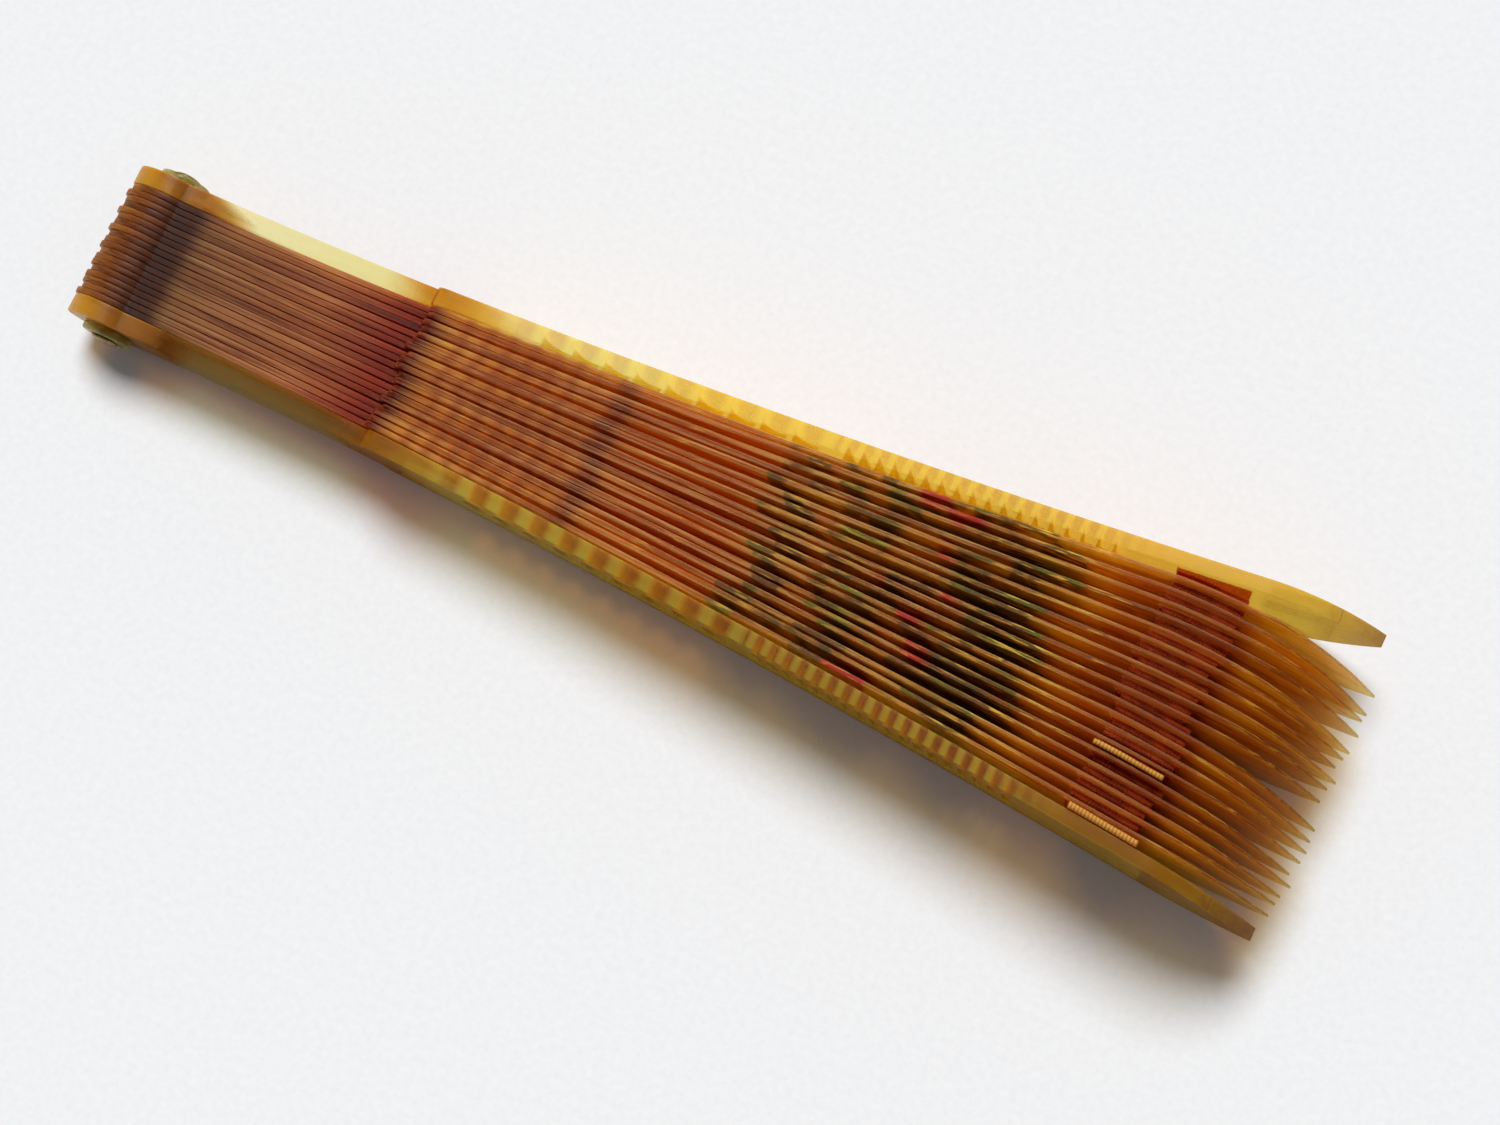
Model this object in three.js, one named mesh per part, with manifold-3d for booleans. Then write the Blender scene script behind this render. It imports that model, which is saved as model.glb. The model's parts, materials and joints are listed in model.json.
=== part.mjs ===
// A horn brisé fan, closed and lying on its edge.
// Two thick guards and a pack of thin sticks turn on one rivet at the head, and a silk ribbon threaded
// through slots near the tips holds the sticks together when the fan is spread.
// Millimetres. X runs from the head to the tips, Y along the rivet from the back guard to the front guard
// and Z up from the table that the straight lower edges lie on.
import * as THREE from 'three';
import { mergeVertices } from 'three/addons/utils/BufferGeometryUtils.js';
import Module from 'manifold-3d';

const wasm = await Module();
wasm.setup();

// Outline shared by guards and sticks, measured along the blade from the rivet and across it from its axis
const TIP_REACH = 183.5;
const HEAD_RADIUS = 6.5;
const GORGE_INSET = 1.1;
const SHOULDER_REACH = 46.6;
const SHOULDER_RUN = 2.2;
const BLADE_HALF_WIDTH = 12.3;
const ARCH_LENGTH = 16.5;
const TIP_HALF_ANGLE = THREE.MathUtils.degToRad(57);
const GUARD_TIP_INSET = 1.6;

// Thicknesses along the rivet: guards thinned evenly from head to tip, sticks pared mostly towards the tip
const STICK_COUNT = 19;
const STICK_HEAD_THICKNESS = 0.84;
const STICK_TIP_THICKNESS = 0.56;
const PARING_POWER = 3;
const GUARD_HEAD_THICKNESS = 2.8;
const GUARD_TIP_THICKNESS = 1.9;
const HEAD_GAP = 0.1;

// Rivet and washers
const PIN_RADIUS = 1.2;
const PIN_CLEARANCE = 0.05;
const PIN_HEAD_LIP = 0.9;
const PIN_HEAD_RISE = 0.6;
const WASHER_RADIUS = 3.7;
const WASHER_THICKNESS = 1.2;
const WASHER_CHAMFER = 0.3;
const STACK_CLEARANCE = 0.08;

// Ribbon, whose bulk spreads the closed blades apart towards the tips
const RIBBON_WIDTH = 10;
const RIBBON_THICKNESS = 0.33;
const RIBBON_FIT = 0.1;
const RIBBON_SLACK = 0.3;
const RIBBON_TO_TIP = 24.7;
const SLOT_TO_EDGE = 4;
const SLOT_PLAY = 0.5;
const RIBBON_TO_EDGE = 0.8;
const SPREAD_POWER = 1.7;

// Warp of the old horn: beyond the ribbon the stick tips curl towards the back guard
const TIP_CURL = 5;
const CURL_POWER = 1.6;
const PARTED_STICKS = 9;
const TIP_PARTING = 2.1;

// Pierced work: diamonds at the foot of each stick, ovals and then fine slots along each guard
const DIAMONDS_TO_SHOULDER = 5;
const DIAMOND_PITCH = 3.4;
const DIAMOND_LENGTH = 2;
const DIAMOND_HEIGHT = 7;
const DIAMOND_ROW = 20.4;
const OVALS_TO_SHOULDER = 15;
const OVAL_PITCH = 4.8;
const OVAL_LENGTH = 3.4;
const OVAL_HEIGHT = 9;
const OVAL_ROW = 43.2;
const FINE_SLOT_PITCH = 2.25;
const FINE_SLOT_LENGTH = 1;
const FINE_SLOT_HEIGHT = 10;
const FINE_SLOTS_TO_RIBBON = 5;

// Facets
const HEAD_FACETS = 12;
const ROUND_FACETS = 16;
const SHOULDER_FACETS = 3;
const ARCH_FACETS = 5;
const BODY_FACETS = 8;
const TIP_FACETS = 3;
const OVAL_FACETS = 8;
const DOME_FACETS = 4;

// How many times its least size a cutting block is made, so that it passes right through
const OVERSIZE = 2;

// Straight edges: each runs tangent to the round head, so the closed fan lies flat along them
const archStart = TIP_REACH - ARCH_LENGTH;
const edgeAngle = Math.atan2(BLADE_HALF_WIDTH, archStart)
  - Math.asin(HEAD_RADIUS / Math.hypot(archStart, BLADE_HALF_WIDTH));

function edgeAt(reach) {
  return HEAD_RADIUS / Math.cos(edgeAngle) + reach * Math.tan(edgeAngle);
}

// Ribbon place along the blade, and across it at the narrower of the ribbon's two sides
const ribbonReach = TIP_REACH - RIBBON_TO_TIP;
const ribbonStart = ribbonReach - RIBBON_WIDTH / 2;
const ribbonEnd = ribbonReach + RIBBON_WIDTH / 2;
const slotAcross = edgeAt(ribbonStart) - SLOT_TO_EDGE;
const ribbonAcross = edgeAt(ribbonStart) - RIBBON_TO_EDGE;

// Spread of the pack: flat at the head, then curving apart as far as the ribbon between the blades needs
function alongBlade(reach) {
  return Math.max(0, (reach - HEAD_RADIUS) / (TIP_REACH - HEAD_RADIUS));
}

function stickThickness(reach) {
  return THREE.MathUtils.lerp(STICK_HEAD_THICKNESS, STICK_TIP_THICKNESS, alongBlade(reach) ** PARING_POWER);
}

function guardThickness(reach) {
  return THREE.MathUtils.lerp(GUARD_HEAD_THICKNESS, GUARD_TIP_THICKNESS, alongBlade(reach));
}

function halfPack(thickness, gap) {
  return (STICK_COUNT * thickness + (STICK_COUNT + 1) * gap) / 2;
}

const headHalfPack = halfPack(STICK_HEAD_THICKNESS, HEAD_GAP);
const ribbonGap = 2 * (RIBBON_FIT + RIBBON_THICKNESS) + RIBBON_SLACK;
const ribbonHalfPack = halfPack(stickThickness(ribbonReach), ribbonGap);
const tipSpread = (ribbonHalfPack - headHalfPack) / alongBlade(ribbonReach) ** SPREAD_POWER;

// Inner face of the front guard; the back guard mirrors it
function guardInnerFace(reach) {
  return headHalfPack + tipSpread * alongBlade(reach) ** SPREAD_POWER;
}

// How far a stick has curled: more the farther it lies from the back guard, and the sticks nearest to that
// guard have parted from the others
function tipCurl(number, reach) {
  const pastRibbon = Math.max(0, (reach - ribbonStart) / (TIP_REACH - ribbonStart));
  const lean = TIP_CURL * (number / (STICK_COUNT + 1)) ** CURL_POWER;
  const parting = number <= PARTED_STICKS ? (TIP_PARTING * number) / PARTED_STICKS : 0;
  return (lean + parting) * pastRibbon ** CURL_POWER;
}

// Middle plane of one stick, counted from 1 beside the back guard
function stickMiddle(number, reach) {
  const thickness = stickThickness(reach);
  const gap = (2 * guardInnerFace(reach) - STICK_COUNT * thickness) / (STICK_COUNT + 1);
  const evenPlace = -guardInnerFace(reach) + number * (gap + thickness) - thickness / 2;
  return evenPlace - tipCurl(number, reach);
}

// Solid modelling helpers
function toSolid(geometry) {
  geometry.deleteAttribute('normal');
  geometry.deleteAttribute('uv');
  const merged = mergeVertices(geometry);
  const mesh = new wasm.Mesh({
    numProp: 3,
    vertProperties: new Float32Array(merged.attributes.position.array),
    triVerts: new Uint32Array(merged.index.array),
  });
  return new wasm.Manifold(mesh);
}

function toGeometry(solid) {
  const mesh = solid.getMesh();
  const geometry = new THREE.BufferGeometry();
  geometry.setAttribute('position', new THREE.BufferAttribute(mesh.vertProperties, 3));
  geometry.setIndex(new THREE.BufferAttribute(mesh.triVerts, 1));
  geometry.computeVertexNormals();
  return geometry;
}

function extrude(shape, depth) {
  return new THREE.ExtrudeGeometry(shape, { depth, bevelEnabled: false });
}

function point(reach, across) {
  return new THREE.Vector2(reach, across);
}

// Outline of a blade as a closed list of points, the lower side first and then its mirror image
function bladeOutline(tipReach) {
  const gorge = HEAD_RADIUS - GORGE_INSET;
  const gorgeAngle = Math.asin(gorge / HEAD_RADIUS);
  const shoulderFoot = SHOULDER_REACH - SHOULDER_RUN;
  const tipSlope = Math.tan(TIP_HALF_ANGLE);
  const archFoot = tipReach - ARCH_LENGTH;
  const archPeak = (tipReach - edgeAt(0) / tipSlope) / (1 + Math.tan(edgeAngle) / tipSlope);

  const head = new THREE.EllipseCurve(0, 0, HEAD_RADIUS, HEAD_RADIUS, Math.PI, 2 * Math.PI - gorgeAngle);
  const shoulder = new THREE.QuadraticBezierCurve(
    point(shoulderFoot, -gorge),
    point(shoulderFoot, -edgeAt(shoulderFoot)),
    point(SHOULDER_REACH, -edgeAt(SHOULDER_REACH)),
  );
  const arch = new THREE.QuadraticBezierCurve(
    point(archFoot, -edgeAt(archFoot)),
    point(archPeak, -edgeAt(archPeak)),
    point(tipReach, 0),
  );
  const lower = [
    ...head.getPoints(HEAD_FACETS / 2),
    ...shoulder.getPoints(SHOULDER_FACETS),
    ...arch.getPoints(ARCH_FACETS),
  ];
  const upper = lower.slice(1, -1).map((corner) => point(corner.x, -corner.y));
  return new THREE.Shape([...lower, ...upper.reverse()]);
}

// Outlines of the openings through a blade
function ring(reach, radiusAlong, radiusAcross, sides) {
  const corners = [];
  for (let side = 0; side < sides; side += 1) {
    const angle = (2 * Math.PI * side) / sides;
    corners.push(point(reach + radiusAlong * Math.cos(angle), radiusAcross * Math.sin(angle)));
  }
  return new THREE.Shape(corners);
}

function slot(reach, across, length, height) {
  const corners = [[-1, -1], [1, -1], [1, 1], [-1, 1]].map(
    ([along, over]) => point(reach + (along * length) / 2, across + (over * height) / 2),
  );
  return new THREE.Shape(corners);
}

// Places of a row of equal openings that fills a length, from its first place on
function row(first, length, pitch) {
  const count = Math.floor(length / pitch);
  return Array.from({ length: count }, (_, index) => first + index * pitch);
}

// Corner radius of a faceted rivet hole whose flats clear the pin
const holeRadius = (PIN_RADIUS + PIN_CLEARANCE) / Math.cos(Math.PI / ROUND_FACETS);

function rivetHole() {
  return ring(0, holeRadius, holeRadius, ROUND_FACETS);
}

function ribbonSlots() {
  const length = RIBBON_WIDTH + 2 * SLOT_PLAY;
  const height = RIBBON_THICKNESS + 2 * SLOT_PLAY;
  return [-slotAcross, slotAcross].map((across) => slot(ribbonReach, across, length, height));
}

function stickPiercing() {
  return row(SHOULDER_REACH + DIAMONDS_TO_SHOULDER, DIAMOND_ROW, DIAMOND_PITCH)
    .map((reach) => ring(reach, DIAMOND_LENGTH / 2, DIAMOND_HEIGHT / 2, 4));
}

function guardPiercing() {
  const ovalStart = SHOULDER_REACH + OVALS_TO_SHOULDER;
  const ovals = row(ovalStart, OVAL_ROW, OVAL_PITCH)
    .map((reach) => ring(reach, OVAL_LENGTH / 2, OVAL_HEIGHT / 2, OVAL_FACETS));
  const fineStart = ovalStart + OVAL_ROW + FINE_SLOT_PITCH;
  const fineRow = ribbonStart - FINE_SLOTS_TO_RIBBON - fineStart;
  const fineSlots = row(fineStart, fineRow, FINE_SLOT_PITCH)
    .map((reach) => slot(reach, 0, FINE_SLOT_LENGTH, FINE_SLOT_HEIGHT));
  return [...ovals, ...fineSlots];
}

// A straight prism through the whole pack
const packDepth = OVERSIZE * 2 * (guardInnerFace(TIP_REACH) + GUARD_HEAD_THICKNESS);

function throughPack(outline) {
  return toSolid(extrude(outline, packDepth).rotateX(Math.PI / 2).translate(0, packDepth / 2, 0));
}

// The flat form of a blade, with its openings cut out
function pierced(outline, openings) {
  return openings.reduce((form, opening) => form.subtract(throughPack(opening)), throughPack(outline));
}

const stickForm = pierced(bladeOutline(TIP_REACH), [rivetHole(), ...ribbonSlots(), ...stickPiercing()]);
const guardForm = pierced(bladeOutline(TIP_REACH - GUARD_TIP_INSET), [rivetHole(), ...guardPiercing()]);

// Places along equal steps from one reach to another, both ends included
function steps(from, to, count) {
  return Array.from({ length: count + 1 }, (_, step) => THREE.MathUtils.lerp(from, to, step / count));
}

// Where the blades bend; each is flat under the ribbon, so that the ribbon lies true on it
const bends = [
  -OVERSIZE * HEAD_RADIUS,
  ...steps(HEAD_RADIUS, ribbonStart, BODY_FACETS),
  ...steps(ribbonEnd, TIP_REACH + HEAD_RADIUS, TIP_FACETS),
];

// A blade: its flat form cut from a plate that bends between a lower and an upper face
function blade(form, lowerFace, upperFace) {
  const plate = new THREE.Shape([
    ...bends.map((reach) => point(reach, lowerFace(reach))),
    ...bends.toReversed().map((reach) => point(reach, upperFace(reach))),
  ]);
  const plateHeight = OVERSIZE * 2 * BLADE_HALF_WIDTH;
  const bentPlate = extrude(plate, plateHeight).translate(0, 0, -plateHeight / 2);
  return toGeometry(toSolid(bentPlate).intersect(form));
}

function stick(number) {
  return blade(
    stickForm,
    (reach) => stickMiddle(number, reach) - stickThickness(reach) / 2,
    (reach) => stickMiddle(number, reach) + stickThickness(reach) / 2,
  );
}

function guard(side) {
  const inner = (reach) => side * guardInnerFace(reach);
  const outer = (reach) => side * (guardInnerFace(reach) + guardThickness(reach));
  return side > 0 ? blade(guardForm, inner, outer) : blade(guardForm, outer, inner);
}

// Ribbon pieces follow the bend of the blade that they lie on
function followBlade(geometry, middle) {
  const places = geometry.attributes.position;
  for (let index = 0; index < places.count; index += 1) {
    places.setY(index, places.getY(index) + middle(places.getX(index)));
  }
  geometry.computeVertexNormals();
  return geometry;
}

// Ribbon on a stick: across its back face, through both slots and out to the edges on its front face
function ribbonOnStick(number) {
  const near = stickThickness(ribbonStart) / 2 + RIBBON_FIT;
  const far = near + RIBBON_THICKNESS;
  const legOut = slotAcross + RIBBON_THICKNESS / 2;
  const legIn = slotAcross - RIBBON_THICKNESS / 2;
  const section = new THREE.Shape([
    point(-far, -legOut), point(near, -legOut), point(near, -ribbonAcross), point(far, -ribbonAcross),
    point(far, -legIn), point(-near, -legIn), point(-near, legIn), point(far, legIn),
    point(far, ribbonAcross), point(near, ribbonAcross), point(near, legOut), point(-far, legOut),
  ]);
  const alongRivet = new THREE.Vector3(0, 1, 0);
  const acrossBlade = new THREE.Vector3(0, 0, 1);
  const alongReach = new THREE.Vector3(1, 0, 0);
  const turn = new THREE.Matrix4().makeBasis(alongRivet, acrossBlade, alongReach);
  const band = extrude(section, RIBBON_WIDTH).applyMatrix4(turn).translate(ribbonStart, 0, 0);
  return followBlade(band, (reach) => stickMiddle(number, reach));
}

// Ribbon end glued to the inner face of a guard
function ribbonOnGuard(side) {
  const strip = new THREE.BoxGeometry(RIBBON_WIDTH, RIBBON_THICKNESS, 2 * ribbonAcross);
  const lift = RIBBON_FIT + RIBBON_THICKNESS / 2;
  strip.translate(ribbonReach, 0, 0);
  return followBlade(strip, (reach) => side * (guardInnerFace(reach) - lift));
}

// Rivet and washers stand on the guards' flat heads
const guardOuterFace = headHalfPack + GUARD_HEAD_THICKNESS;
const washerInnerFace = guardOuterFace + STACK_CLEARANCE;
const washerOuterFace = washerInnerFace + WASHER_THICKNESS;

function rivet() {
  const headRadius = PIN_RADIUS + PIN_HEAD_LIP;
  const underHead = washerOuterFace + STACK_CLEARANCE;
  const top = underHead + PIN_HEAD_RISE;
  const dome = new THREE.QuadraticBezierCurve(
    point(headRadius, underHead),
    point(headRadius, top),
    point(0, top),
  ).getPoints(DOME_FACETS);
  const upper = [point(PIN_RADIUS, underHead), ...dome];
  const lower = upper.map((corner) => point(corner.x, -corner.y)).reverse();
  return new THREE.LatheGeometry([...lower, ...upper], ROUND_FACETS);
}

function washer(side) {
  const section = [
    point(holeRadius, 0),
    point(WASHER_RADIUS, 0),
    point(WASHER_RADIUS, WASHER_THICKNESS - WASHER_CHAMFER),
    point(WASHER_RADIUS - WASHER_CHAMFER, WASHER_THICKNESS),
    point(holeRadius, WASHER_THICKNESS),
    point(holeRadius, 0),
  ];
  const disc = new THREE.LatheGeometry(section, ROUND_FACETS);
  if (side < 0) {
    disc.rotateX(Math.PI);
  }
  return disc.translate(0, side * washerInnerFace, 0);
}

// Finishes
function horn(color) {
  return new THREE.MeshStandardMaterial({ color, roughness: 0.32, metalness: 0 });
}

function silk() {
  return new THREE.MeshStandardMaterial({ color: 0x6e2c1c, roughness: 0.7, metalness: 0 });
}

function pearlyHorn() {
  return new THREE.MeshStandardMaterial({ color: 0xc6bf86, roughness: 0.25, metalness: 0 });
}

function brass() {
  return new THREE.MeshStandardMaterial({ color: 0xa58a4c, roughness: 0.35, metalness: 1 });
}

// Assembly in the blades' own frame, with the rivet along Y through the origin
const fan = new THREE.Group();

function place(name, geometry, material) {
  const mesh = new THREE.Mesh(geometry, material);
  mesh.name = name;
  fan.add(mesh);
}

place('guard_back', guard(-1), horn(0xb9842c));
place('guard_front', guard(1), horn(0xd2a544));
place('ribbon_end_back', ribbonOnGuard(-1), silk());
place('ribbon_end_front', ribbonOnGuard(1), silk());
for (let number = 1; number <= STICK_COUNT; number += 1) {
  const label = String(number).padStart(2, '0');
  place(`stick_${label}`, stick(number), horn(0x9a5420));
  place(`ribbon_${label}`, ribbonOnStick(number), silk());
}
place('rivet_pin', rivet(), brass());
place('washer_back', washer(-1), pearlyHorn());
place('washer_front', washer(1), pearlyHorn());

// Closed fan laid on its straight lower edges, centred over the origin
fan.rotation.y = -edgeAngle;
fan.position.z = HEAD_RADIUS;
const extent = new THREE.Box3().setFromObject(fan, true);
fan.position.x = -(extent.min.x + extent.max.x) / 2;

export default fan;
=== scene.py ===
import json
import math

import bmesh
import bpy
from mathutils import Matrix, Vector


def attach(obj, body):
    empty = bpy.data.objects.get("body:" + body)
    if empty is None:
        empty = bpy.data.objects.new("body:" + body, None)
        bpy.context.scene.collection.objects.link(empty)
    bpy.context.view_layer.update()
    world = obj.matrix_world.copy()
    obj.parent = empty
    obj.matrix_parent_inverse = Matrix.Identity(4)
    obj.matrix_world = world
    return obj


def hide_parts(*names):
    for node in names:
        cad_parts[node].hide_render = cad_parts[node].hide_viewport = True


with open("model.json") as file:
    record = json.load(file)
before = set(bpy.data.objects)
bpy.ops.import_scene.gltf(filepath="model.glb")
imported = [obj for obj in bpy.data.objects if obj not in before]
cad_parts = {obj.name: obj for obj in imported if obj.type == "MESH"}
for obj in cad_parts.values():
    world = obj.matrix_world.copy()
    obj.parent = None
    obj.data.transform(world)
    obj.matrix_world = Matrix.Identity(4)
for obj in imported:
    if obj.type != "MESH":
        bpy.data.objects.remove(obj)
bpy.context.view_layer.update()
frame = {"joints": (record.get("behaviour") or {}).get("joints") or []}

# Guards
# The two outer blades of the fan, sawn from pressed horn plate, thinned towards the tip and polished. A row of
# ovals and a row of fine slots are pierced through each, and the rivet holds them at the head.

MM = 0.001
rivet = Vector(frame["joints"][0]["pos_m"])

# Outline that all blades share, in millimetres along the blade from the rivet and across it from its middle
tip_reach = 183.5
head_radius = 6.5
gorge_half_width = 5.4
shoulder_reach = 46.6
shoulder_run = 2.2
arch_half_width = 12.3
arch_length = 16.5
tip_half_angle = math.radians(57)
arch_foot = tip_reach - arch_length
edge_angle = math.atan2(arch_half_width, arch_foot) - math.asin(head_radius / math.hypot(arch_foot, arch_half_width))


def edge_at(reach):
    return head_radius / math.cos(edge_angle) + reach * math.tan(edge_angle)


def along_blade(reach):
    return max(0.0, (reach - head_radius) / (tip_reach - head_radius))


def as_share(value):
    return min(1.0, max(0.0, value))


# Guards are thinned evenly from head to tip, and sticks are pared mostly towards the tip
guard_head_thickness = 2.8
guard_thinning = 0.9
stick_head_thickness = 0.84
stick_paring = 0.28


def guard_thickness(reach):
    return guard_head_thickness - guard_thinning * along_blade(reach)


def stick_thickness(reach):
    return stick_head_thickness - stick_paring * along_blade(reach) ** 3


# The pack of sticks is flat at the head and is spread towards the tips by the ribbon threaded between them
stick_count = 19
ribbon_width = 10.0
ribbon_reach = 158.8
ribbon_start = ribbon_reach - ribbon_width / 2
head_half_pack = 8.98
spread_power = 1.7
ribbon_gap = 1.16
ribbon_half_pack = (stick_count * stick_thickness(ribbon_reach) + (stick_count + 1) * ribbon_gap) / 2
tip_spread = (ribbon_half_pack - head_half_pack) / along_blade(ribbon_reach) ** spread_power


def guard_inner_face(reach):
    return head_half_pack + tip_spread * along_blade(reach) ** spread_power


def on_table(reach, across, through):
    """A place on the closed fan, in metres, from millimetres along, across and through its blades."""
    level, tilt = math.cos(edge_angle), math.sin(edge_angle)
    return rivet + MM * Vector((reach * level - across * tilt, through, reach * tilt + across * level))


def bow(start, pull, end, count):
    """Points of a curve that leaves start towards pull and comes into end from it."""
    points = []
    for step in range(count + 1):
        t = step / count
        points.append(tuple(
            (1 - t) ** 2 * a + 2 * t * (1 - t) * b + t ** 2 * c for a, b, c in zip(start, pull, end)))
    return points


def blade_ring(tip):
    """Outline of a blade: round head, narrow gorge, shoulder, straight edges and pointed arch."""
    gorge_angle = math.asin(gorge_half_width / head_radius)
    head_steps, shoulder_steps, arch_steps = 28, 10, 24
    head = []
    for step in range(head_steps + 1):
        angle = math.pi + (math.pi - gorge_angle) * step / head_steps
        head.append((head_radius * math.cos(angle), head_radius * math.sin(angle)))
    foot = shoulder_reach - shoulder_run
    shoulder = bow((foot, -gorge_half_width), (foot, -edge_at(foot)),
                   (shoulder_reach, -edge_at(shoulder_reach)), shoulder_steps)
    slope = math.tan(tip_half_angle)
    peak = (tip - edge_at(0) / slope) / (1 + math.tan(edge_angle) / slope)
    arch = bow((tip - arch_length, -edge_at(tip - arch_length)), (peak, -edge_at(peak)), (tip, 0.0), arch_steps)
    lower = head + shoulder + arch
    return lower + [(reach, -across) for reach, across in reversed(lower[1:-1])]


def oval_ring(reach, half_length, half_height, sides):
    turns = [2 * math.pi * side / sides for side in range(sides)]
    return [(reach + half_length * math.cos(turn), half_height * math.sin(turn)) for turn in turns]


def slot_ring(reach, across, length, height):
    """A slot with rounded corners."""
    corner_share, corner_steps = 0.3, 3
    corner = corner_share * min(length, height)
    ring = []
    for quarter, (side, over) in enumerate([(1, 1), (-1, 1), (-1, -1), (1, -1)]):
        for step in range(corner_steps + 1):
            turn = math.pi / 2 * (quarter + step / corner_steps)
            ring.append((reach + side * (length / 2 - corner) + corner * math.cos(turn),
                         across + over * (height / 2 - corner) + corner * math.sin(turn)))
    return ring


def saw_flat(name, rings, thickness, eased):
    """A flat blade, in millimetres: the first ring is its outline and the others its openings, with eased edges. It is
    cut across every few millimetres so that it can bend, and the slivers that the cuts leave are taken out."""
    bend_step = 3.0
    touching, sliver = 0.001, 0.002
    drawing = bpy.data.curves.new(name, "CURVE")
    drawing.dimensions = "2D"
    drawing.fill_mode = "BOTH"
    drawing.extrude = thickness / 2 - eased
    drawing.bevel_depth = eased
    drawing.bevel_resolution = 1
    drawing.offset = -eased
    for ring in rings:
        spline = drawing.splines.new("POLY")
        spline.points.add(len(ring) - 1)
        spline.use_cyclic_u = True
        for point, (reach, across) in zip(spline.points, ring):
            point.co = (reach, across, 0.0, 1.0)
    holder = bpy.data.objects.new(name, drawing)
    plate = bpy.data.meshes.new_from_object(holder)
    bpy.data.objects.remove(holder)
    form = bmesh.new()
    form.from_mesh(plate)
    bmesh.ops.remove_doubles(form, verts=form.verts, dist=touching)
    for step in range(int(tip_reach / bend_step) + 1):
        everything = form.verts[:] + form.edges[:] + form.faces[:]
        bmesh.ops.bisect_plane(form, geom=everything, dist=touching / 10,
                               plane_co=(step * bend_step, 0, 0), plane_no=(1, 0, 0))
    bmesh.ops.dissolve_degenerate(form, dist=sliver, edges=form.edges[:])
    form.to_mesh(plate)
    form.free()
    return plate


def put_in_scene(name, data):
    thing = bpy.data.objects.new(name, data)
    bpy.context.scene.collection.objects.link(thing)
    return thing


def keep_faces_flat(piece):
    """Shades eased edges round and leaves the broad faces flat."""
    piece.data.shade_smooth()
    smooth = piece.modifiers.new("flat faces stay flat", "WEIGHTED_NORMAL")
    smooth.keep_sharp = False


def bend_blade(name, plate, thickness, middle_at, thickness_at, opens_by, longer=0.0, head_out=0.0):
    """A copy of a flat blade, bent to its place in the fan, and longer in the gorge and at the head than the others by
    some part of a millimetre. It keeps each point's place on the flat blade, and on the garland that runs over all
    blades when the fan is spread, for its finish."""
    garland_radius = 120
    least_radius = 20.0
    gorge_start = 8
    gorge_run = 15
    mesh = plate.copy()
    mesh.name = name
    flat_place = mesh.attributes.new("flat_place", "FLOAT_VECTOR", "POINT")
    garland_place = mesh.attributes.new("garland_place", "FLOAT_VECTOR", "POINT")
    for vertex in mesh.vertices:
        reach, across, through = vertex.co
        flat_place.data[vertex.index].vector = (reach, across, through)
        around = garland_radius * (opens_by + across / max(least_radius, reach))
        garland_place.data[vertex.index].vector = (reach, around, through)
        reach += longer * as_share((reach - gorge_start) / gorge_run) - head_out * as_share(-reach / head_radius)
        vertex.co = on_table(reach, across, middle_at(reach) + through * thickness_at(reach) / thickness)
    # Standing the drawing on edge mirrors it, so its faces are turned outwards again
    mesh.flip_normals()
    blade = put_in_scene(name, mesh)
    keep_faces_flat(blade)
    return blade


def linear(code):
    """An sRGB hex colour as the linear colour that the shaders take."""
    parts = [int(code[place:place + 2], 16) / 255 for place in (1, 3, 5)]
    return tuple(part / 12.92 if part <= 0.04045 else ((part + 0.055) / 1.055) ** 2.4 for part in parts) + (1.0,)


def add(tree, kind, inputs=None, **settings):
    """Adds a node, sets it up and joins its inputs to values or to other nodes' outputs."""
    node = tree.nodes.new("ShaderNode" + kind)
    for key, value in settings.items():
        if key == "stops":
            while len(node.color_ramp.elements) < len(value):
                node.color_ramp.elements.new(1.0)
            for stop, (place, code) in zip(node.color_ramp.elements, value):
                stop.position = place
                stop.color = linear(code)
        else:
            setattr(node, key, value)
    for key, value in (inputs or {}).items():
        if isinstance(value, bpy.types.NodeSocket):
            tree.links.new(value, node.inputs[key])
        else:
            node.inputs[key].default_value = value
    return node


def new_material(name):
    material = bpy.data.materials.new(name)
    material.use_nodes = True
    tree = material.node_tree
    return material, tree, tree.nodes["Principled BSDF"]


def let_light_through(tree, body, share, tint):
    """Makes a finish partly clear: a share of the light goes straight on, tinted."""
    clear = add(tree, "BsdfTransparent", {"Color": tint})
    both = add(tree, "MixShader", {0: share, 1: body.outputs["BSDF"], 2: clear.outputs["BSDF"]})
    tree.links.new(both.outputs["Shader"], tree.nodes["Material Output"].inputs["Surface"])


# Run along a blade, in millimetres from the rivet, that its finish is laid out on
run_start, run_end = -10.0, 190.0


def by_reach(stops):
    """Colour stops along a blade, given by millimetres from the rivet, as shares of the run."""
    return [((reach - run_start) / (run_end - run_start), code) for reach, code in stops]


def find_place(tree):
    """A point's place on its flat blade, the parts of that place, and the share of the run that it lies at."""
    place = add(tree, "Attribute", attribute_name="flat_place").outputs["Vector"]
    parts = add(tree, "SeparateXYZ", {"Vector": place}).outputs
    reach_share = add(tree, "MapRange", {"Value": parts["X"], "From Min": run_start, "From Max": run_end})
    return place, parts, reach_share.outputs["Result"]


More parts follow.
